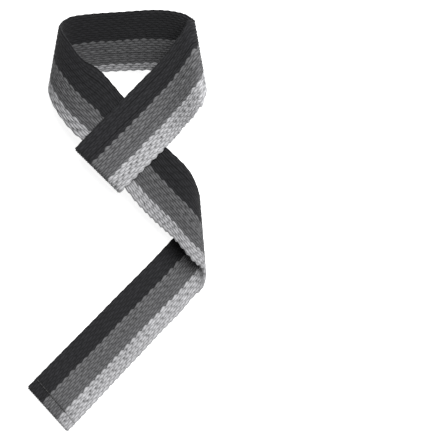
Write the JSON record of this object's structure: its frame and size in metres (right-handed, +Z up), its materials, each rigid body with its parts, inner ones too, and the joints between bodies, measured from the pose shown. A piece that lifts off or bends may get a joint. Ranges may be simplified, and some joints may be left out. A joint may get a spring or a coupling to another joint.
{
  "type": "weightlifting strap",
  "caption": "Woven cotton lifting strap: slit loop sewn at one end, wrist loop running through it, hemmed tail folded back under itself, lying flat.",
  "frame": {"origin": "middle of the outline seen from above, on the surface that the strap lies on", "axes": "+X to the right, +Y towards the back of the wrist loop, +Z up"},
  "size_m": [0.1144, 0.261, 0.0523],
  "materials": {
    "webbing": "coarse warp stripes: black, dark grey and light grey cotton, matte",
    "thread": "matte sewing thread"
  },
  "bodies": {
    "root": {"webbing": "webbing"}
  },
  "joints": []
}
